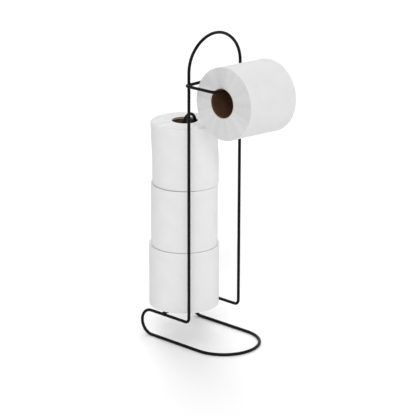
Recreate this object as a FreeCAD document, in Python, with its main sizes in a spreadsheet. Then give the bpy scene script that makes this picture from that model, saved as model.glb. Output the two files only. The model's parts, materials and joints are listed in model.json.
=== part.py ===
import FreeCAD, Part
import math
import os

import Sketcher

# A free-standing toilet paper stand bent from round steel wire, with one roll hanging on its arm
# and three spare rolls stacked on its post. Millimetres, +Z up, the front towards -Y.
# The origin lies on the floor, midway between the two uprights and in their plane.

Vector = FreeCAD.Vector

# The driving dimensions, in millimetres unless the name ends in _angle, which is in degrees.
DIMENSIONS = {
    "wire_diameter": 4.8,
    "frame_width": 114.0,
    "spring_height": 442.8,
    "arch_rise": 52.8,
    "shoulder_radius": 49.0,
    "foot_height": 43.2,
    "foot_bend_radius": 8.0,
    "foot_length": 82.4,
    "loop_reach": 20.6,
    "path_split_height": 70.0,
    "weld_sink": 1.3,
    "weld_bead_radius": 3.1,
    "arm_height": 425.9,
    "arm_overhang": 10.9,
    "arm_bend_radius": 6.0,
    "bar_reach": 61.1,
    "bar_length": 127.0,
    "bar_droop_angle": 2.0,
    "wire_end_past": 3.4,
    "wire_end_round": 0.8,
    "post_setback": 52.9,
    "post_leg_spacing": 23.5,
    "post_bend_radius": 5.0,
    "post_height": 359.1,
    "core_bore": 44.4,
    "core_wall": 0.8,
    "paper_edge_radius": 1.5,
    "hanging_diameter": 111.0,
    "hanging_width": 103.4,
    "hanging_inset": 18.9,
    "hanging_sag": 0.9,
    "hanging_lean": 2.6,
    "spare_width": 100.0,
    "bottom_diameter": 111.0,
    "bottom_shift_x": -5.4,
    "bottom_shift_y": 7.4,
    "middle_diameter": 105.2,
    "middle_shift_x": -7.1,
    "middle_shift_y": 4.8,
    "top_diameter": 106.4,
    "top_shift_x": -6.3,
    "top_shift_y": 4.4,
    "rest_gap": 0.3,
    "stack_gap": 0.2,
}

# Heights and radii that several sub-parts share, written in the sheet's own names.
WIRE_RADIUS = "dims.wire_diameter / 2"
HALF_WIDTH = "dims.frame_width / 2"
CROSSING_RISE = "(dims.wire_diameter - dims.weld_sink)"
POST_LEG = "dims.post_leg_spacing / 2"
POST_FOOT_HEIGHT = f"(dims.foot_height + {CROSSING_RISE})"
WIRE_END = "(dims.frame_width / 2 + dims.wire_end_past)"
STACK_FLOOR = f"({POST_FOOT_HEIGHT} + {WIRE_RADIUS} + dims.rest_gap)"
SPARE_ROLLS = ("bottom", "middle", "top")

START, END, CENTRE = 1, 2, 3
ORIGIN_POINT = (-1, 1)
QUARTER = math.pi / 2

document = FreeCAD.newDocument("toilet_paper_stand")
sheet = document.addObject("Spreadsheet::Sheet", "dims")
for row, (alias, size) in enumerate(DIMENSIONS.items(), start=1):
    sheet.set(f"A{row}", alias)
    sheet.set(f"B{row}", str(size))
    sheet.setAlias(f"B{row}", alias)
document.recompute()


def value(expression):
    """The number that an expression in the sheet's names stands for now."""
    found = sheet.evalExpression(expression)
    return float(getattr(found, "Value", found))


def origin_plane(body, role):
    return next(part for part in body.Origin.OriginFeatures if part.Role == role)


def make_body(label):
    body = document.addObject("PartDesign::Body", label)
    body.Label = label
    return body


def make_sketch(body, name, role, offset="0"):
    """A sketch on one of the body's own planes, moved along its normal by an expression."""
    sketch = body.newObject("Sketcher::SketchObject", name)
    sketch.AttachmentSupport = (origin_plane(body, role), [""])
    sketch.MapMode = "FlatFace"
    sketch.setExpression("AttachmentOffset.Base.z", offset)
    return sketch


def bind(sketch, kind, *where, to):
    """A dimension whose value follows an expression."""
    index = sketch.addConstraint(Sketcher.Constraint(kind, *where, value(to)))
    name = f"{kind.lower()}_{index}"
    sketch.renameConstraint(index, name)
    sketch.setExpression(f"Constraints.{name}", to)


def bind_point(sketch, geometry, point, x, y):
    bind(sketch, "DistanceX", *ORIGIN_POINT, geometry, point, to=x)
    bind(sketch, "DistanceY", *ORIGIN_POINT, geometry, point, to=y)


def circle(sketch, x, y, radius):
    index = sketch.addGeometry(
        Part.Circle(Vector(value(x), value(y)), Vector(0, 0, 1), value(radius)), False
    )
    bind_point(sketch, index, CENTRE, x, y)
    bind(sketch, "Radius", index, to=radius)
    return index


def line(sketch, start, end):
    """A straight run between two points given as expressions, bound at both ends."""
    points = [Vector(value(x), value(y)) for x, y in (start, end)]
    index = sketch.addGeometry(Part.LineSegment(*points), False)
    bind_point(sketch, index, START, *start)
    bind_point(sketch, index, END, *end)
    return index


def arc(sketch, centre, radius, first, last):
    """An anticlockwise arc whose centre and radius are numbers; constraints tie it down."""
    round_path = Part.Circle(Vector(*centre), Vector(0, 0, 1), radius)
    return sketch.addGeometry(Part.ArcOfCircle(round_path, first, last), False)


def join(sketch, one, one_end, other, other_end):
    sketch.addConstraint(Sketcher.Constraint("Tangent", one, one_end, other, other_end))


def bend(sketch, before, before_end, after, after_end, centre, radius, first, last, flip=False):
    """A bend tangent to the runs before and after it. flip is for one drawn from its far end."""
    index = arc(sketch, [value(c) for c in centre], value(radius), first, last)
    near, far = (END, START) if flip else (START, END)
    join(sketch, before, before_end, index, near)
    sketch.addConstraint(Sketcher.Constraint("Coincident", index, far, after, after_end))
    return index


def pipe(body, name, profile, path):
    feature = body.newObject("PartDesign::AdditivePipe", name)
    feature.Profile = profile
    feature.Spine = path
    document.recompute()
    body.Tip = feature
    return feature


def wire_section(body, name, role, offset, x, y):
    sketch = make_sketch(body, name, role, offset)
    circle(sketch, x, y, WIRE_RADIUS)
    return sketch


def weld_seats(body, name, role, offset, x, y, depth):
    """Shallow seats where the crossing wires of the frame have sunk into this one."""
    sketch = make_sketch(body, name, role, offset)
    for side in ("-", ""):
        circle(sketch, f"{side}{x}", y, WIRE_RADIUS)
    before = body.Tip.Shape.Volume
    feature = body.newObject("PartDesign::Pocket", f"{name}_cut")
    feature.Profile = sketch
    feature.Midplane = True
    feature.setExpression("Length", depth)
    document.recompute()
    body.Tip = feature
    if not feature.Shape.Volume < before:
        raise RuntimeError(f"{name} cuts nothing")


def round_ends(body, name, spots):
    """Takes the sharp edge off the cut ends of a wire, found by the middle of each end face."""
    wire = body.Tip
    edges = []
    for number, edge in enumerate(wire.Shape.Edges, start=1):
        curve = edge.Curve
        closed = edge.isClosed() and hasattr(curve, "Radius")
        if closed and any(curve.Center.distanceToPoint(spot) < 0.01 for spot in spots):
            edges.append(f"Edge{number}")
    if len(edges) != len(spots):
        raise RuntimeError(f"{name} found {len(edges)} of {len(spots)} ends")
    feature = body.newObject("PartDesign::Fillet", name)
    feature.Base = (wire, edges)
    feature.setExpression("Radius", "dims.wire_end_round")
    document.recompute()
    body.Tip = feature


# ---- frame: one closed wire, arch, uprights, feet, back bends and floor loop ----


def arch_path(body):
    """The uprights and the three-centred arch that joins them."""
    sketch = make_sketch(body, "arch_path", "XZ_Plane")
    foot, spring = "dims.path_split_height", "dims.spring_height"
    left = line(sketch, (f"-{HALF_WIDTH}", foot), (f"-{HALF_WIDTH}", spring))
    right = line(sketch, (HALF_WIDTH, spring), (HALF_WIDTH, foot))
    shoulder = value("dims.shoulder_radius")
    inset = value(HALF_WIDTH) - shoulder
    rise = value("dims.arch_rise") - shoulder
    drop = (inset**2 - rise**2) / (2 * rise)
    crown = drop + value("dims.arch_rise")
    height = value(spring)
    turn = math.atan2(drop, inset)
    left_arc = arc(sketch, (-inset, height), shoulder, math.pi - turn, math.pi)
    crown_arc = arc(sketch, (0, height - drop), crown, turn, math.pi - turn)
    right_arc = arc(sketch, (inset, height), shoulder, 0, turn)
    join(sketch, left, END, left_arc, END)
    join(sketch, left_arc, START, crown_arc, END)
    join(sketch, crown_arc, START, right_arc, END)
    join(sketch, right_arc, START, right, START)
    bind(sketch, "Radius", left_arc, to="dims.shoulder_radius")
    bind(sketch, "Radius", right_arc, to="dims.shoulder_radius")
    inset_text = f"({HALF_WIDTH} - dims.shoulder_radius)"
    rise_text = "(dims.arch_rise - dims.shoulder_radius)"
    drop_text = f"({inset_text}^2 - {rise_text}^2) / (2 * {rise_text})"
    bind(sketch, "Radius", crown_arc, to=f"{drop_text} + dims.arch_rise")
    return sketch


def side_path(body):
    """Down one upright, back along its foot, down the back bend and forward along the floor."""
    sketch = make_sketch(body, "side_path", "YZ_Plane", f"-{HALF_WIDTH}")
    radius, foot, floor = "dims.foot_bend_radius", "dims.foot_height", WIRE_RADIUS
    upright = line(sketch, ("0", "dims.path_split_height"), ("0", f"{foot} + {radius}"))
    foot_run = line(sketch, (radius, foot), ("dims.foot_length", foot))
    floor_run = line(sketch, ("dims.foot_length", floor), ("-dims.loop_reach", floor))
    centre = (radius, f"{foot} + {radius}")
    bend(sketch, upright, END, foot_run, START, centre, radius, 2 * QUARTER, 3 * QUARTER)
    back = f"(dims.foot_height - {WIRE_RADIUS}) / 2"
    centre = ("dims.foot_length", f"{WIRE_RADIUS} + {back}")
    bend(sketch, foot_run, END, floor_run, START, centre, back, -QUARTER, QUARTER, flip=True)
    return sketch


def front_path(body):
    """The half circle that closes the floor loop in front."""
    sketch = make_sketch(body, "front_path", "XY_Plane", WIRE_RADIUS)
    centre = (0, -value("dims.loop_reach"))
    index = arc(sketch, centre, value(HALF_WIDTH), 2 * QUARTER, 4 * QUARTER)
    bind_point(sketch, index, CENTRE, "0", "-dims.loop_reach")
    bind_point(sketch, index, START, f"-{HALF_WIDTH}", "-dims.loop_reach")
    bind(sketch, "DistanceY", *ORIGIN_POINT, index, END, to="-dims.loop_reach")
    return sketch


def make_frame():
    body = make_body("frame_wire")
    split = ("XY_Plane", "dims.path_split_height", f"-{HALF_WIDTH}", "0")
    pipe(body, "arch", wire_section(body, "arch_section", *split), arch_path(body))
    side = pipe(body, "side", wire_section(body, "side_section", *split), side_path(body))
    mirrored = body.newObject("PartDesign::Mirrored", "other_side")
    mirrored.Originals = [side]
    mirrored.MirrorPlane = (origin_plane(body, "YZ_Plane"), [""])
    document.recompute()
    body.Tip = mirrored
    spot = ("XZ_Plane", "dims.loop_reach", f"-{HALF_WIDTH}", WIRE_RADIUS)
    pipe(body, "front", wire_section(body, "front_section", *spot), front_path(body))
    return body


# ---- arm: a wire welded across the uprights, bent forward and then along the roll ----


def make_arm():
    body = make_body("roll_arm")
    height, radius = "dims.arm_height", "dims.arm_bend_radius"
    tip_x = f"-({HALF_WIDTH} + dims.arm_overhang)"
    cross_y = f"-{CROSSING_RISE}"
    turn_y = f"(-dims.bar_reach + {radius})"

    path = make_sketch(body, "cross_path", "XY_Plane", height)
    cross = line(path, (WIRE_END, cross_y), (f"{tip_x} + {radius}", cross_y))
    leg = line(path, (tip_x, f"{cross_y} - {radius}"), (tip_x, turn_y))
    centre = (f"{tip_x} + {radius}", f"{cross_y} - {radius}")
    bend(path, cross, END, leg, START, centre, radius, QUARTER, 2 * QUARTER)
    section = wire_section(body, "cross_section", "YZ_Plane", WIRE_END, cross_y, height)
    pipe(body, "cross_and_leg", section, path)

    path = make_sketch(body, "bar_path", "XY_Plane", height)
    path.setExpression("AttachmentOffset.Base.x", tip_x)
    path.AttachmentOffset = FreeCAD.Placement(
        Vector(value(tip_x), 0, value(height)),
        FreeCAD.Rotation(Vector(0, 1, 0), value("dims.bar_droop_angle")),
    )
    path.setExpression("AttachmentOffset.Rotation.Angle", "dims.bar_droop_angle")
    bar = line(path, (radius, "-dims.bar_reach"), ("dims.bar_length", "-dims.bar_reach"))
    bend_arc = arc(path, (value(radius), value(turn_y)), value(radius), 2 * QUARTER, 3 * QUARTER)
    join(path, bend_arc, END, bar, START)
    bind_point(path, bend_arc, START, "0", turn_y)
    section = wire_section(body, "bar_section", "XZ_Plane", f"-{turn_y}", tip_x, height)
    pipe(body, "bar", section, path)

    weld_seats(body, "weld_seats", "XY_Plane", height, HALF_WIDTH, "0", "2 * dims.wire_diameter")
    along = bar_direction()
    free_end = bar_origin() + along * value("dims.bar_length")
    cross_end = Vector(value(WIRE_END), value(cross_y), value(height))
    round_ends(body, "rounded_ends", [cross_end, free_end])
    return body


def bar_direction():
    droop = math.radians(value("dims.bar_droop_angle"))
    return Vector(math.cos(droop), 0, -math.sin(droop))


def bar_origin():
    """Where the bar's centreline would meet the leg's if the bend between them were sharp."""
    tip_x = -(value(HALF_WIDTH) + value("dims.arm_overhang"))
    return Vector(tip_x, -value("dims.bar_reach"), value("dims.arm_height"))


# ---- post: a hairpin whose two feet lie across the frame's feet ----


def make_post():
    body = make_body("spare_roll_post")
    foot, leg, radius = POST_FOOT_HEIGHT, POST_LEG, "dims.post_bend_radius"
    out = f"({leg} + {radius})"
    low = f"({foot} + {radius})"
    high = f"(dims.post_height - {leg})"
    path = make_sketch(body, "post_path", "XZ_Plane", "-dims.post_setback")
    left_foot = line(path, (f"-{WIRE_END}", foot), (f"-{out}", foot))
    left_leg = line(path, (f"-{leg}", low), (f"-{leg}", high))
    right_leg = line(path, (leg, high), (leg, low))
    right_foot = line(path, (out, foot), (WIRE_END, foot))
    centre = (f"-{out}", low)
    bend(path, left_foot, END, left_leg, START, centre, radius, 3 * QUARTER, 4 * QUARTER)
    bend(path, left_leg, END, right_leg, START, ("0", high), leg, 0, 2 * QUARTER, flip=True)
    centre = (out, low)
    bend(path, right_leg, END, right_foot, START, centre, radius, 2 * QUARTER, 3 * QUARTER)
    spot = ("YZ_Plane", f"-{WIRE_END}", "dims.post_setback", foot)
    pipe(body, "hairpin", wire_section(body, "post_section", *spot), path)
    offset = "-dims.post_setback"
    seat = (HALF_WIDTH, "dims.foot_height", "2 * dims.wire_diameter")
    weld_seats(body, "weld_seats", "XZ_Plane", offset, *seat)
    end = Vector(value(WIRE_END), value("dims.post_setback"), value(foot))
    round_ends(body, "rounded_ends", [end, Vector(-end.x, end.y, end.z)])
    return body


# ---- welds: a small bead at each place where two wires cross ----


def placed(kind, name, sizes, at, turned=None):
    """A Part primitive whose sizes and place follow expressions."""
    shape = document.addObject(kind, name)
    for size, expression in sizes.items():
        shape.setExpression(size, expression)
    if turned:
        shape.Placement.Rotation = FreeCAD.Rotation(*turned)
    for axis, expression in zip("xyz", at):
        shape.setExpression(f"Placement.Base.{axis}", expression)
    return shape


def weld_bead(name, at, wires):
    """What is left of a small ball at a crossing once both wires are taken out of it."""
    ball = placed("Part::Sphere", f"{name}_ball", {"Radius": "dims.weld_bead_radius"}, at)
    sizes = {"Radius": WIRE_RADIUS, "Height": "4 * dims.wire_diameter"}
    bead = ball
    for number, (start, turned) in enumerate(wires):
        wire = placed("Part::Cylinder", f"{name}_wire_{number}", sizes, start, turned)
        cut = document.addObject("Part::Cut", f"{name}_cut_{number}")
        cut.Base = bead
        cut.Tool = wire
        bead = cut
    return bead


def bead_pair(label, beads):
    pair = document.addObject("Part::Compound", label)
    pair.Label = label
    pair.Links = beads
    return pair


def make_welds():
    along_x, along_y = (Vector(0, 1, 0), 90), (Vector(1, 0, 0), -90)
    half, reach = f"{CROSSING_RISE} / 2", "2 * dims.wire_diameter"
    arm_beads, post_beads = [], []
    for name, side in (("left", "-"), ("right", "")):
        x = f"{side}{HALF_WIDTH}"
        height = "dims.arm_height"
        upright = ((x, "0", f"{height} - {reach}"), None)
        cross = ((f"{x} - {reach}", f"-{CROSSING_RISE}", height), along_x)
        at = (x, f"-{half}", height)
        arm_beads.append(weld_bead(f"arm_{name}", at, (upright, cross)))

        y = "dims.post_setback"
        foot = ((x, f"{y} - {reach}", "dims.foot_height"), along_y)
        post_foot = ((f"{x} - {reach}", y, POST_FOOT_HEIGHT), along_x)
        at = (x, y, f"dims.foot_height + {half}")
        post_beads.append(weld_bead(f"post_{name}", at, (foot, post_foot)))
    return [bead_pair("arm_welds", arm_beads), bead_pair("post_welds", post_beads)]


# ---- rolls: a cardboard core and the paper wound on it ----


def make_tube(label, inner, outer, length, middle=("0", "0")):
    """A tube along its own +Z whose outside may be wound off centre, round another middle."""
    body = make_body(label)
    sketch = make_sketch(body, f"{label}_rings", "XY_Plane")
    circle(sketch, *middle, outer)
    circle(sketch, "0", "0", inner)
    pad = body.newObject("PartDesign::Pad", f"{label}_length")
    pad.Profile = sketch
    pad.setExpression("Length", length)
    document.recompute()
    body.Tip = pad
    return body


def soften_edges(body, radius):
    """Rounds the two outer edges of a tube."""
    pad = body.Tip
    widest = max(edge.Curve.Radius for edge in pad.Shape.Edges if hasattr(edge.Curve, "Radius"))
    edges = []
    for number, edge in enumerate(pad.Shape.Edges, start=1):
        if hasattr(edge.Curve, "Radius") and abs(edge.Curve.Radius - widest) < 0.01:
            edges.append(f"Edge{number}")
    feature = body.newObject("PartDesign::Fillet", f"{body.Label}_edges")
    feature.Base = (pad, edges)
    feature.setExpression("Radius", radius)
    document.recompute()
    body.Tip = feature


def make_roll(name, diameter, width, at, turned=("0", Vector(0, 0, 1)), middle=("0", "0")):
    """One roll, core and paper, with its lower end's middle at a point given by expressions."""
    core_outer = "dims.core_bore / 2 + dims.core_wall"
    core = make_tube(f"{name}_core", "dims.core_bore / 2", core_outer, width)
    paper = make_tube(f"{name}_paper", core_outer, f"{diameter} / 2", width, middle)
    soften_edges(paper, "dims.paper_edge_radius")
    angle, axis = turned
    for body in (core, paper):
        body.Placement = FreeCAD.Placement(Vector(), FreeCAD.Rotation(axis, value(angle)))
        body.setExpression("Placement.Rotation.Angle", angle)
        for letter, expression in zip("xyz", at):
            body.setExpression(f"Placement.Base.{letter}", expression)
    return [core, paper]


def make_hanging_roll():
    """The roll on the bar: the top of its core rests on the wire, so its axis runs below it.
    Its paper is slack, so the outside sags and leans forward of the core."""
    drop = f"(dims.core_bore / 2 - {WIRE_RADIUS} - dims.rest_gap)"
    droop = "dims.bar_droop_angle"
    along = "dims.hanging_inset"
    at = (
        f"-({HALF_WIDTH} + dims.arm_overhang) + {along} * cos({droop}) - {drop} * sin({droop})",
        "-dims.bar_reach",
        f"dims.arm_height - {along} * sin({droop}) - {drop} * cos({droop})",
    )
    turned = (f"90 + {droop}", Vector(0, 1, 0))
    sizes = ("dims.hanging_diameter", "dims.hanging_width")
    middle = ("dims.hanging_sag", "-dims.hanging_lean")
    return make_roll("hanging_roll", *sizes, at, turned, middle)


def make_spare_rolls():
    """The stack on the post, each roll pushed a little off the post's middle."""
    parts = []
    for level, name in enumerate(SPARE_ROLLS):
        at = (
            f"dims.{name}_shift_x",
            f"dims.post_setback + dims.{name}_shift_y",
            f"{STACK_FLOOR} + {level} * (dims.spare_width + dims.stack_gap)",
        )
        sizes = (f"dims.{name}_diameter", "dims.spare_width")
        parts += make_roll(f"{name}_spare_roll", *sizes, at)
    return parts


sub_parts = [make_frame(), make_arm(), make_post()]
sub_parts += make_welds()
sub_parts += make_hanging_roll()
sub_parts += make_spare_rolls()
document.recompute()

for part in document.Objects:
    if "Invalid" in part.State or "Error" in part.State:
        raise RuntimeError(f"{part.Label} failed: {part.State}")
for part in sub_parts:
    if part.Shape.isNull() or not part.Shape.isValid():
        raise RuntimeError(f"{part.Label} has no valid shape")

os.makedirs("parts", exist_ok=True)
for part in sub_parts:
    part.Shape.exportStep(os.path.join("parts", f"{part.Label}.step"))
    print(f"{part.Label}: {len(part.Shape.Solids)} solids, {part.Shape.Volume:.0f} mm3")
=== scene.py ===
import json
import math

import bpy
import numpy as np
from mathutils import Matrix, Vector


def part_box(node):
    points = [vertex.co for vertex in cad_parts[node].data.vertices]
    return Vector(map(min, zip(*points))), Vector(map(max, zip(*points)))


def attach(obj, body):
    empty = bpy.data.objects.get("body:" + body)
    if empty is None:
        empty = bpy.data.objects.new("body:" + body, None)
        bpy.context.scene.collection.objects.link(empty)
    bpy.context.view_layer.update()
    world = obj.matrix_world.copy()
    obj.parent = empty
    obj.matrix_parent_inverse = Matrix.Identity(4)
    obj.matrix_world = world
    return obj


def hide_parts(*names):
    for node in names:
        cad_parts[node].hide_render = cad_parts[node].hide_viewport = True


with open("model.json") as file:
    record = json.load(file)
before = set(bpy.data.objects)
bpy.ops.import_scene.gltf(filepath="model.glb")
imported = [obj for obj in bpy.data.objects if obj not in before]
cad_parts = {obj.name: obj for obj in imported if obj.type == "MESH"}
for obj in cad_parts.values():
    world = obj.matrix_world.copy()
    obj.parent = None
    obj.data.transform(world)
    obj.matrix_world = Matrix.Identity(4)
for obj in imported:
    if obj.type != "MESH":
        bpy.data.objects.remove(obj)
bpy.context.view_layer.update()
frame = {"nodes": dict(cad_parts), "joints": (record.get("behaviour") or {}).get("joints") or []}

MM = 0.001
FULL_TURN = 2 * math.pi
FLOOR_REACH = 14

# The studio: even light from all round, and broad soft lights given as place, aim, spread in
# degrees and strength.
SKY_STRENGTH = 0.45
LIGHTS = {
    "front": ((-2.4, -2.2, 2.4), (0, 0, 0.2), 30, 1.27),
    "back": ((1.8, 2.2, 2.2), (0, 0, 0.2), 34, 1.05),
    "side": ((2.6, -1.6, 1.0), (0, 0, 0.3), 30, 0.66),
    "overhead": ((0, 0, 3.2), (0, 0, 0), 50, 0.7),
}

# The view: where the camera stands, how it is turned in degrees, and its lens in millimetres.
CAMERA_PLACE = (-2.1211, -1.9739, 1.1454)
CAMERA_HEADING = 46.88
CAMERA_TILT = 17.76
CAMERA_ROLL = 0.17
CAMERA_LENS = 169.39
CAMERA_SENSOR = 36

# Colours, each a darker and a paler shade that a pattern blends between.
COAT_SHADES = ((0.0025, 0.0025, 0.003), (0.006, 0.006, 0.0065))
SIDE_SHADES = ((0.77, 0.77, 0.768), (0.82, 0.82, 0.818))
END_SHADES = ((0.68, 0.68, 0.68), (0.84, 0.84, 0.838))
# Brown board made darker than the board itself: painted shade for the inside of the tube.
BOARD_AND_BORE_SHADE = ((0.054, 0.023, 0.009), (0.12, 0.058, 0.026))
BOARD_EDGE_SHADES = ((0.42, 0.29, 0.19), (0.66, 0.52, 0.40))
FLOOR_SHADES = ((0.935, 0.935, 0.938), (0.955, 0.955, 0.955))
SEAM_COLOUR = (0.025, 0.014, 0.008, 1)
NOISE_RANGE = (0.3, 0.7)

# Sizes that all rolls share.
AROUND = 288
USUAL_RADIUS = 53 * MM
LAYER_STEP = 0.25 * MM
LOOSE_END = 0.3 * MM
OUT_OF_ROUND = 0.15 * MM
RING_STEP = 0.14 * MM
END_SWELL = 0.35 * MM
LIP_DEPTH = 3 * MM
CORE_WALL = 0.8 * MM
CORE_SOFTNESS = 0.22 * MM
CORE_CRUSH = 0.12 * MM
CRUSH_DEPTH = 12 * MM
SEAM_PITCH = 62 * MM
LEAN_WAY = Vector((0.684, -0.730, 0))
BULGE_WAY = Vector((0, -0.6, -0.8))

# The shares of a roll's width over which its side draws in, leans and bulges.
WAIST_START = 0.8
LEAN_START, LEAN_SPAN = 0.4, 0.35
BULGE_START = 0.3

# Each roll, lengths in millimetres: the tone of its paper, lowered on the hanging roll as painted
# shade, the rounding of its lower and upper rims, how far its side draws in below its upper end,
# how far its inner layers lean over the core there, how far its lower and upper parts are pushed
# along LEAN_WAY, how far its upper end bulges along BULGE_WAY, and the direction of its loose end
# in radians.
ROLLS = {
    # The hanging roll's lower tone is painted shade: the same paper as the spares, made darker to
    # stand in for the lesser light on it.
    "hanging_roll": {"paper_tone_and_shade": 0.86, "seed": 3, "rims": (0.8, 3.0), "waist": 0.1, "lip": 0.0,
                     "lean": (0.0, 0.0), "bulge": 1.2, "tail": 2.2},
    "bottom_spare_roll": {"paper_tone_and_shade": 0.93, "seed": 7, "rims": (0.5, 0.5), "waist": 0.0, "lip": 0.0,
                          "lean": (0.0, 0.0), "bulge": 0.0, "tail": 3.9},
    "middle_spare_roll": {"paper_tone_and_shade": 0.93, "seed": 11, "rims": (0.5, 0.5), "waist": 0.0, "lip": 0.0,
                          "lean": (0.0, 0.0), "bulge": 0.0, "tail": 0.6},
    "top_spare_roll": {"paper_tone_and_shade": 0.93, "seed": 19, "rims": (0.5, 4.0), "waist": 1.0, "lip": 3.0,
                       "lean": (1.0, -0.7), "bulge": 0.0, "tail": 5.1},
}


# ---- materials ----


class Nodes:
    """A short way to write a material's node tree."""

    def __init__(self, name):
        self.material = bpy.data.materials.new(name)
        self.material.use_nodes = True
        self.tree = self.material.node_tree
        self.shader = self.tree.nodes["Principled BSDF"]

    def add(self, kind, settings=None, **inputs):
        node = self.tree.nodes.new(kind)
        for key, setting in (settings or {}).items():
            setattr(node, key, setting)
        self.feed_all(node, inputs)
        return node

    def feed(self, node, socket, value):
        """Gives an input, known by name or number, a link or a plain value."""
        target = node.inputs[int(socket)] if socket.isdigit() else node.inputs[socket]
        if isinstance(value, bpy.types.NodeSocket):
            self.tree.links.new(value, target)
        else:
            target.default_value = value

    def feed_all(self, node, inputs):
        for key, value in inputs.items():
            self.feed(node, key.replace("_", " "), value)

    def surface(self, **inputs):
        """Feeds the shader and gives the finished material."""
        self.feed_all(self.shader, inputs)
        return self.material

    def place(self):
        return self.add("ShaderNodeTexCoord").outputs["Object"]

    def mapped(self, vector, **inputs):
        return self.add("ShaderNodeMapping", Vector=vector, **inputs).outputs[0]

    def math(self, operation, *values):
        node = self.add("ShaderNodeMath", {"operation": operation})
        for number, value in enumerate(values):
            self.feed(node, str(number), value)
        return node.outputs[0]

    def weighted(self, *parts):
        """The sum of some values, each given with its weight."""
        total = 0.0
        for value, weight in reversed(parts):
            total = self.math("MULTIPLY_ADD", value, weight, total)
        return total

    def noise(self, where, scale, detail, roughness=0.5):
        return self.add(
            "ShaderNodeTexNoise", Vector=where, Scale=scale, Detail=detail, Roughness=roughness
        ).outputs["Fac"]

    def line_noise(self, along, scale, detail, roughness=0.5):
        return self.add(
            "ShaderNodeTexNoise", {"noise_dimensions": "1D"},
            W=along, Scale=scale, Detail=detail, Roughness=roughness
        ).outputs["Fac"]

    def ramp(self, value, places, shades):
        """A blend between two shades, each held beyond its place."""
        node = self.add("ShaderNodeValToRGB", Fac=value)
        for element, place, shade in zip(node.color_ramp.elements, places, shades):
            element.position = place
            element.color = (*shade, 1)
        return node.outputs["Color"]

    def span(self, value, between, onto):
        """Maps one range onto another, holding its ends."""
        node = self.add("ShaderNodeMapRange", Value=value)
        for key, number in zip(("From Min", "From Max", "To Min", "To Max"), between + onto):
            self.feed(node, key, number)
        return node.outputs["Result"]

    def bump(self, height, depth, strength, under=None):
        node = self.add("ShaderNodeBump", Height=height, Distance=depth, Strength=strength)
        if under:
            self.feed(node, "Normal", under)
        return node.outputs["Normal"]


def roll_coordinates(nodes, place):
    """The radius, the angle in turns and the height along the axis of a place on a roll."""
    split = nodes.add("ShaderNodeSeparateXYZ", Vector=place)
    x, y, z = split.outputs
    radius = nodes.math("SQRT", nodes.math("ADD", nodes.math("MULTIPLY", x, x),
                                           nodes.math("MULTIPLY", y, y)))
    angle = nodes.math("DIVIDE", nodes.math("ARCTAN2", y, x), FULL_TURN)
    return radius, angle, z


def ridge(nodes, value, centre, half_width):
    """1 where value is at centre, falling to 0 at half_width each side of it."""
    away = nodes.math("ABSOLUTE", nodes.math("SUBTRACT", value, centre))
    return nodes.span(away, (0.0, half_width), (1.0, 0.0))


def tinted(shades, paper_tone_and_shade):
    return tuple(tuple(part * paper_tone_and_shade for part in shade) for shade in shades)


def powder_coat():
    """Satin black with a faint orange peel."""
    nodes = Nodes("black_powder_coat")
    place = nodes.place()
    grain = nodes.noise(place, scale=2600, detail=3)
    patch = nodes.noise(place, scale=90, detail=3)
    peel = nodes.noise(place, scale=700, detail=2)
    orange_peel = nodes.bump(peel, depth=0.05 * MM, strength=0.5)
    return nodes.surface(
        Base_Color=nodes.ramp(patch, NOISE_RANGE, COAT_SHADES),
        Roughness=nodes.span(patch, NOISE_RANGE, (0.36, 0.46)),
        Specular_IOR_Level=0.1,
        Normal=nodes.bump(grain, depth=0.02 * MM, strength=0.6, under=orange_peel),
    )


def tissue_side(name, paper_tone_and_shade):
    """The outside of a roll: crepe lines along the axis and small embossed dots."""
    nodes = Nodes(f"{name}_side")
    place = nodes.place()
    _, angle, height = roll_coordinates(nodes, place)
    around = nodes.math("MULTIPLY", angle, FULL_TURN * USUAL_RADIUS)
    flat = nodes.add("ShaderNodeCombineXYZ", X=around, Y=height, Z=0.0).outputs[0]
    crepe = nodes.noise(nodes.mapped(flat, Scale=(1.0, 0.06, 1.0)), scale=3200, detail=2)
    cells = nodes.add("ShaderNodeTexVoronoi", {"feature": "F1"},
                      Vector=flat, Scale=420.0, Randomness=0.15).outputs["Distance"]
    dots = nodes.span(cells, (0.1, 0.32), (0.0, 1.0))
    cloud = nodes.noise(place, scale=38, detail=3)
    fibre = nodes.noise(place, scale=1500, detail=4, roughness=0.7)
    slow = nodes.bump(cloud, depth=1.2 * MM, strength=0.35)
    pressed = nodes.bump(dots, depth=0.12 * MM, strength=0.25, under=slow)
    crepe_lines = nodes.bump(crepe, depth=0.08 * MM, strength=0.5, under=pressed)
    return nodes.surface(
        Base_Color=nodes.ramp(nodes.weighted((fibre, 0.35), (cloud, 0.65)), NOISE_RANGE,
                              tinted(SIDE_SHADES, paper_tone_and_shade)),
        Roughness=0.92,
        Specular_IOR_Level=0.2,
        Sheen_Weight=0.1,
        Sheen_Roughness=0.6,
        Normal=nodes.bump(fibre, depth=0.05 * MM, strength=0.5, under=crepe_lines),
    )


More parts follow.
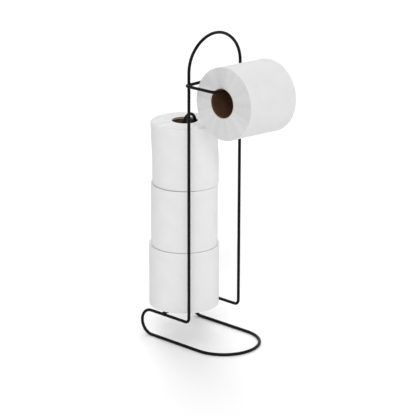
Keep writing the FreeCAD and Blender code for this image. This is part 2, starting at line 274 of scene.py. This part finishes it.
def tissue_ends(name, paper_tone_and_shade):
    """The wound edges of a roll: fine rings, pressed here and there into soft spokes, with a
    painted reflection in wedges along the spokes and painted shade along thin creases.
    """
    nodes = Nodes(f"{name}_ends")
    place = nodes.place()
    radius, angle, _ = roll_coordinates(nodes, place)
    level = nodes.mapped(place, Scale=(1.0, 1.0, 0.0))
    wander = nodes.noise(level, scale=60, detail=2)
    wound = nodes.math("ADD", radius, nodes.math("MULTIPLY", wander, 0.5 * MM))
    turns = nodes.math("ADD", nodes.math("DIVIDE", wound, LAYER_STEP), angle)
    rings = nodes.line_noise(turns, scale=1.6, detail=3, roughness=0.6)
    wide_rings = nodes.line_noise(turns, scale=0.13, detail=2)
    unit = nodes.add("ShaderNodeVectorMath", {"operation": "NORMALIZE"})
    nodes.feed(unit, "0", nodes.mapped(level, Rotation=(0, 0, math.pi)))
    outward = unit.outputs[0]
    # Soft spokes: a pressed bump, and in the colour below a painted reflection of light and dark
    # wedges.
    spokes_and_sheen = nodes.noise(outward, scale=2.4, detail=4, roughness=0.6)
    lines = nodes.noise(outward, scale=4.3, detail=4, roughness=0.6)
    # Thin creases, darkened in the colour below as painted shade.
    crease_shade = nodes.math("MULTIPLY", ridge(nodes, lines, centre=0.5, half_width=0.02),
                         nodes.span(wander, (0.45, 0.65), (0.0, 1.0)))
    # The spokes add a painted reflection here, and the creases with their negative weight add
    # painted shade.
    shade = nodes.weighted((rings, 0.3), (wide_rings, 0.12), (spokes_and_sheen, 0.58), (crease_shade, -0.06))
    pressed = nodes.bump(spokes_and_sheen, depth=1.5 * MM, strength=0.35)
    broad = nodes.bump(wide_rings, depth=0.3 * MM, strength=0.4, under=pressed)
    return nodes.surface(
        Base_Color=nodes.ramp(shade, (0.36, 0.62), tinted(END_SHADES, paper_tone_and_shade)),
        Roughness=0.95,
        Specular_IOR_Level=0.15,
        Normal=nodes.bump(rings, depth=0.2 * MM, strength=0.7, under=broad),
    )


def core_board():
    """Brown board, darkened all over as painted shade for the inside of the tube, wound in a
    spiral whose seam shows as a thin dark groove.
    """
    nodes = Nodes("core_board")
    place = nodes.place()
    _, angle, height = roll_coordinates(nodes, place)
    climb = nodes.math("ADD", nodes.math("DIVIDE", height, SEAM_PITCH), angle)
    seam = ridge(nodes, nodes.math("FRACT", climb), centre=0.5, half_width=0.012)
    fibre = nodes.noise(place, scale=900, detail=5, roughness=0.7)
    mottle = nodes.noise(place, scale=130, detail=3)
    # The board's brown here carries painted shade for the inside of the tube.
    board = nodes.ramp(nodes.weighted((fibre, 0.5), (mottle, 0.5)), NOISE_RANGE, BOARD_AND_BORE_SHADE)
    darkened = nodes.add("ShaderNodeMix", {"data_type": "RGBA"})
    for socket, value in (("0", nodes.math("MULTIPLY", seam, 0.6)),
                          ("6", board),
                          ("7", SEAM_COLOUR)):
        nodes.feed(darkened, socket, value)
    beside_seam = nodes.math("SUBTRACT", 1.0, seam)
    groove = nodes.bump(beside_seam, depth=0.3 * MM, strength=0.6)
    return nodes.surface(
        Base_Color=darkened.outputs[2],
        Roughness=0.85,
        Specular_IOR_Level=0.25,
        Normal=nodes.bump(fibre, depth=0.1 * MM, strength=0.6, under=groove),
    )


def board_edge():
    """The cut end of a core, paler than its faces."""
    nodes = Nodes("core_edge")
    stretched = nodes.mapped(nodes.place(), Scale=(1.0, 1.0, 0.1))
    plies = nodes.noise(stretched, scale=2200, detail=3, roughness=0.7)
    return nodes.surface(
        Base_Color=nodes.ramp(plies, NOISE_RANGE, BOARD_EDGE_SHADES),
        Roughness=0.95,
        Normal=nodes.bump(plies, depth=0.15 * MM, strength=0.7),
    )


def studio_floor():
    nodes = Nodes("studio_floor")
    cloud = nodes.noise(nodes.place(), scale=1.4, detail=3)
    return nodes.surface(
        Base_Color=nodes.ramp(cloud, NOISE_RANGE, FLOOR_SHADES),
        Roughness=0.7,
    )


# ---- rolls ----


def roll_axis(body):
    """The direction of a roll's axis: its hinge's if it turns, and up if it only lifts."""
    for joint in frame["joints"]:
        if joint["child"] == body and joint["type"] == "hinge":
            return Vector(joint["axis"]).normalized()
    return Vector((0, 0, 1))


def roll_place(body, node):
    """A roll's place at the middle of its lower end, its radius and its width, from the CAD."""
    low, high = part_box(node)
    axis = roll_axis(body)
    radius = (high.y - low.y) / 2
    span = high - low
    upright = abs(axis.z) > 0.9
    if upright:
        width = span.z
    else:
        width = (span.x - 2 * radius * abs(axis.z)) / abs(axis.x)
    middle = (low + high) / 2
    turn = axis.to_track_quat("Z", "Y").to_matrix().to_4x4()
    return Matrix.Translation(middle - axis * width / 2) @ turn, radius, width


def smooth_random(seed, count, periods):
    """A seeded smooth curve around a circle, within about -1 to 1."""
    rng = np.random.default_rng(seed)
    angle = np.arange(count) * FULL_TURN / count
    total = np.zeros(count)
    for period in range(1, periods + 1):
        phase = rng.uniform(0, FULL_TURN)
        total += rng.uniform(0.4, 1) / period**0.5 * np.sin(period * angle + phase)
    return total / np.abs(total).max()


def turned_piece(name, points, place, materials, end_slope):
    """A closed ring of points as an object: rows follow the profile and columns go round the axis.

    The second material covers the faces whose normal is steeper along the axis than end_slope.
    """
    rows, columns, _ = points.shape
    row, column = np.meshgrid(np.arange(rows), np.arange(columns), indexing="ij")
    next_row, next_column = (row + 1) % rows, (column + 1) % columns
    faces = np.stack([row * columns + column, row * columns + next_column,
                      next_row * columns + next_column, next_row * columns + column], -1)
    mesh = bpy.data.meshes.new(name)
    mesh.from_pydata(points.reshape(-1, 3).tolist(), [], faces.reshape(-1, 4).tolist())
    mesh.shade_smooth()
    for material in materials:
        mesh.materials.append(material)
    for face in mesh.polygons:
        face.material_index = 1 if abs(face.normal.z) > end_slope else 0
    piece = bpy.data.objects.new(name, mesh)
    bpy.context.scene.collection.objects.link(piece)
    piece.matrix_world = place
    return piece


def paper_profile(inner, radius, width, style):
    """Points from the bore's lower end, out over the lower face, up the side and back in."""
    low_rim, high_rim = (rim * MM for rim in style["rims"])
    lip = style["lip"] * MM
    ring_count, side_count, rim_count, bore_count = 46, 34, 10, 8

    def steps(start, stop, count):
        return np.linspace(start, stop, count, endpoint=False)

    rim_turn = steps(0, math.pi / 2, rim_count)
    lower = [(r, 0.0) for r in steps(inner, radius - low_rim, ring_count)]
    lower_rim = [(radius - low_rim + low_rim * math.sin(t), low_rim - low_rim * math.cos(t))
                 for t in rim_turn]
    side = [(radius, z) for z in steps(low_rim, width - high_rim, side_count)]
    upper_rim = [(radius - high_rim + high_rim * math.cos(t),
                  width - high_rim + high_rim * math.sin(t)) for t in rim_turn]
    upper = [(r, width) for r in steps(radius - high_rim, inner - lip, ring_count)]
    lean = [(inner - lip * share**2, width - LIP_DEPTH * (1 - share))
            for share in steps(1, 0, bore_count)]
    bore = [(inner, z) for z in steps(width - LIP_DEPTH, 0, bore_count)]
    return np.array(lower + lower_rim + side + upper_rim + upper + lean + bore)


def wound_paper(body, style, materials):
    """Paper wound on a core: a spiral with its loose end, soft rims and a slight waist."""
    node = f"{body}_paper"
    paper_place, radius, width = roll_place(body, node)
    place, core_radius, _ = roll_place(body, f"{body}_core")
    off_centre = place.inverted() @ paper_place.translation
    to_local = place.to_3x3().inverted()
    profile = paper_profile(core_radius, radius, width, style)
    across, height = profile[:, 0], profile[:, 1]
    depth = np.clip((across - core_radius) / (radius - core_radius), 0, 1)
    share = height / width
    angle = np.arange(AROUND) * FULL_TURN / AROUND
    seed = style["seed"]
    rng = np.random.default_rng(seed)

    # The side, which fades into the regular bore.
    turned = ((angle - style["tail"]) % FULL_TURN) / FULL_TURN
    winding = -LOOSE_END * (1 - turned)
    out_of_round = OUT_OF_ROUND * (smooth_random(seed, AROUND, 3) - 1)
    drawn_in = 1 - np.clip((share - WAIST_START) / (1 - WAIST_START), 0, 1) ** 1.5
    waist = -style["waist"] * MM * drawn_in
    bulge_way = to_local @ BULGE_WAY
    faces_bulge = np.cos(angle - math.atan2(bulge_way.y, bulge_way.x)).clip(0) ** 2
    bulge = style["bulge"] * MM * np.clip((share - BULGE_START) / (1 - BULGE_START), 0, 1)
    reach = across[:, None] + depth[:, None] ** 3 * (
        winding[None, :] + out_of_round[None, :] + waist[:, None]
        + bulge[:, None] * faces_bulge[None, :]
    )

    # The ends, whose layers stand unevenly a little inside the full width.
    ring_noise = rng.uniform(0, 1, len(profile))
    sectors = (smooth_random(seed + 1, AROUND, 5) + 1) / 2
    sag = RING_STEP * ring_noise[:, None] + END_SWELL * depth[:, None] * sectors[None, :]
    on_end = (depth > 0.02) & (depth < 0.999)
    inward = np.where(share < 0.5, 1.0, -1.0)
    z = height[:, None] + np.where(on_end, inward, 0.0)[:, None] * sag

    # The lean, and the outside's place off the core's centre.
    upward = np.clip((share - LEAN_START) / LEAN_SPAN, 0, 1)
    lean = MM * np.interp(upward, (0, 1), style["lean"])
    lean_way = to_local @ LEAN_WAY
    push_x, push_y = (off + lean * way for off, way in zip(off_centre.xy, lean_way.xy))
    points = np.stack([reach * np.cos(angle) + (push_x * depth)[:, None],
                       reach * np.sin(angle) + (push_y * depth)[:, None], z], -1)

    piece = turned_piece(f"{node}_wound", points, place, materials, end_slope=0.72)
    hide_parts(node)
    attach(piece, body)


def board_core(body, style, materials):
    """A board tube with softly crushed cut edges, its upper one just under any leaning layers."""
    node = f"{body}_core"
    place, radius, width = roll_place(body, node)
    if style["lip"]:
        width -= LIP_DEPTH
    inner = radius - CORE_WALL
    soft = CORE_SOFTNESS
    heights = np.linspace(soft, width - soft, 24)
    outside = [(radius, z) for z in heights]
    inside = [(inner, z) for z in heights[::-1]]
    top = [(radius - soft, width), (inner + soft, width)]
    bottom = [(inner + soft, 0.0), (radius - soft, 0.0)]
    profile = np.array(outside + top + inside + bottom)

    angle = np.arange(AROUND) * FULL_TURN / AROUND
    crush = CORE_CRUSH * smooth_random(style["seed"] + 40, AROUND, 4) - CORE_CRUSH
    from_end = np.minimum(profile[:, 1], width - profile[:, 1])
    is_inner = profile[:, 0] < radius - CORE_WALL / 2
    crushed = np.where(is_inner, np.exp(-from_end / CRUSH_DEPTH), 0)
    reach = profile[:, :1] + crushed[:, None] * crush
    z = np.broadcast_to(profile[:, 1:], reach.shape)
    points = np.stack([reach * np.cos(angle), reach * np.sin(angle), z], -1)

    piece = turned_piece(f"{node}_board", points, place, materials, end_slope=0.5)
    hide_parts(node)
    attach(piece, body)


coat = powder_coat()
for name in ("frame_wire", "roll_arm", "spare_roll_post", "arm_welds", "post_welds"):
    wire = frame["nodes"][name]
    wire.data.materials.clear()
    wire.data.materials.append(coat)

board_materials = core_board(), board_edge()
for body, style in ROLLS.items():
    paper_tone_and_shade = style["paper_tone_and_shade"]
    wound_paper(body, style, (tissue_side(body, paper_tone_and_shade), tissue_ends(body, paper_tone_and_shade)))
    board_core(body, style, board_materials)


# ---- floor, light and camera ----


def soft_light(name, place, aim, spread, strength):
    """Even light from one side: spread is how wide its source looks, in degrees."""
    light = bpy.data.lights.new(name, "SUN")
    light.energy = strength
    light.angle = math.radians(spread)
    lamp = bpy.data.objects.new(name, light)
    bpy.context.scene.collection.objects.link(lamp)
    lamp.location = place
    lamp.rotation_euler = (Vector(aim) - Vector(place)).to_track_quat("-Z", "Y").to_euler()


floor_mesh = bpy.data.meshes.new("floor")
corners = [(FLOOR_REACH * x, FLOOR_REACH * y, 0) for x, y in ((-1, -1), (1, -1), (1, 1), (-1, 1))]
floor_mesh.from_pydata(corners, [], [(0, 1, 2, 3)])
floor_mesh.materials.append(studio_floor())
floor = bpy.data.objects.new("floor", floor_mesh)
bpy.context.scene.collection.objects.link(floor)

world = bpy.data.worlds.new("studio")
world.use_nodes = True
background = world.node_tree.nodes["Background"]
background.inputs["Color"].default_value = (1, 1, 1, 1)
background.inputs["Strength"].default_value = SKY_STRENGTH
bpy.context.scene.world = world
bpy.context.scene.view_settings.view_transform = "Standard"

for name, light in LIGHTS.items():
    soft_light(name, *light)

camera_data = bpy.data.cameras.new("camera")
camera_data.lens = CAMERA_LENS
camera_data.sensor_width = CAMERA_SENSOR
camera = bpy.data.objects.new("camera", camera_data)
bpy.context.scene.collection.objects.link(camera)
camera.matrix_world = (
    Matrix.Translation(CAMERA_PLACE)
    @ Matrix.Rotation(math.radians(-CAMERA_HEADING), 4, "Z")
    @ Matrix.Rotation(math.radians(90 - CAMERA_TILT), 4, "X")
    @ Matrix.Rotation(math.radians(CAMERA_ROLL), 4, "Z")
)
bpy.context.scene.camera = camera
